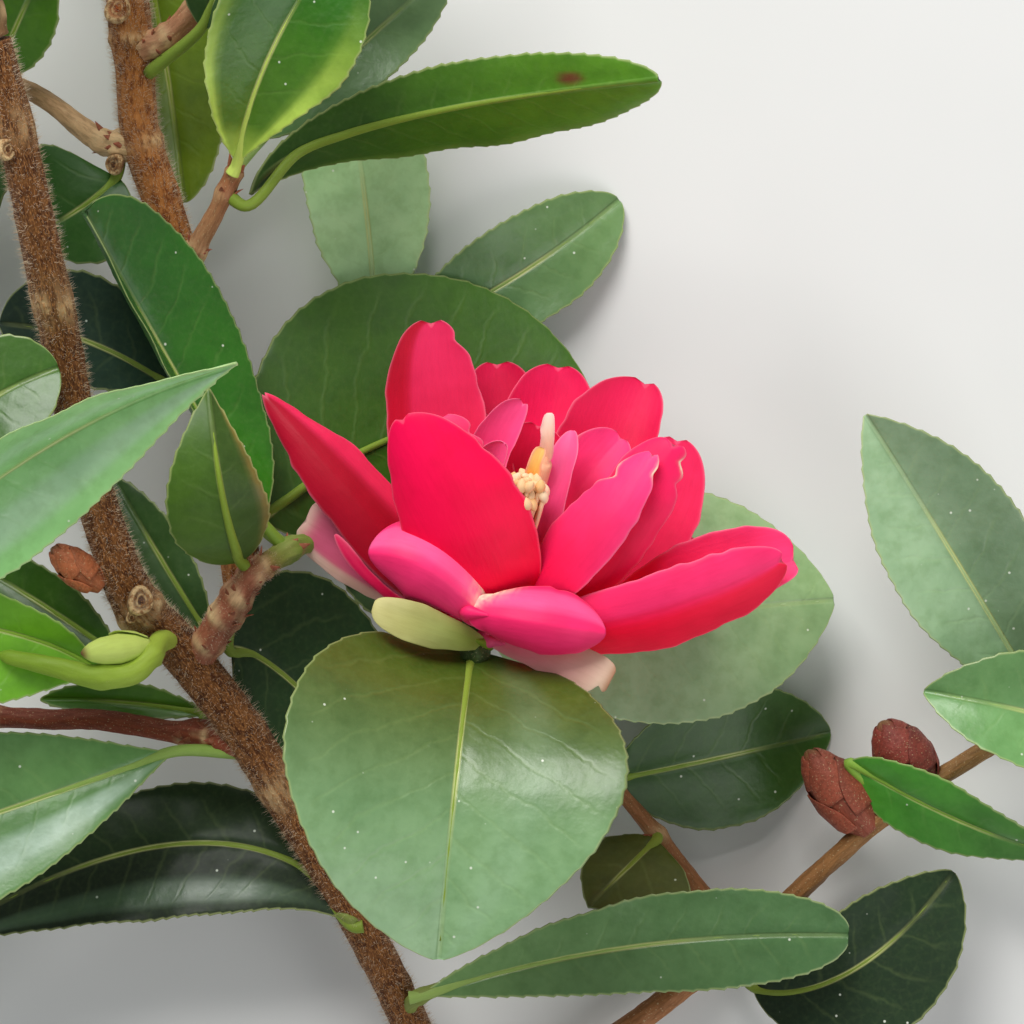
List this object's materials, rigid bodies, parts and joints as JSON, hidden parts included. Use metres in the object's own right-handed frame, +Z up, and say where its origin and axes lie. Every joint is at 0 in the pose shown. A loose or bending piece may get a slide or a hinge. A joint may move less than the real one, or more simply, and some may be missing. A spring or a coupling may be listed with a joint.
{
  "type": "flowering camellia branch",
  "caption": "Cut branch of a garden camellia with glossy leaves on forking stems and an open semi-double red bloom, lying on its back leaves.",
  "frame": {"origin": "middle of the box of the whole branch, on the surface that it lies on", "axes": "+Z up from the surface, towards a viewer who looks down on the bloom; +Y from the cut end towards the top spray; +X to the viewer's right"},
  "size_m": [0.1713, 0.1835, 0.0659],
  "materials": {
    "bark": "rough grey-brown bark with short pale hairs",
    "shoots": "soft green to brown young shoots and leaf stalks",
    "foliage": "glossy leathery leaves, dark green above and paler below",
    "petals": "satin crimson petals, paler pink where the light comes through",
    "stamens": "cream threads with yellow heads",
    "buds": "silky scales, green to reddish brown"
  },
  "bodies": {
    "root": {"main_stem": "bark", "second_stem": "bark", "flower_spray": "foliage", "back_spray": "foliage", "upper_spray": "foliage", "crown_spray": "foliage", "stub_twig": "foliage", "left_spray": "foliage", "front_left_spray": "foliage", "curled_leaf": "foliage", "red_spray": "foliage", "low_leaf": "foliage", "low_right_leaf": "foliage", "stem_leaf": "foliage", "right_spray": "foliage", "top_spray": "foliage", "bloom": "petals"}
  },
  "joints": []
}
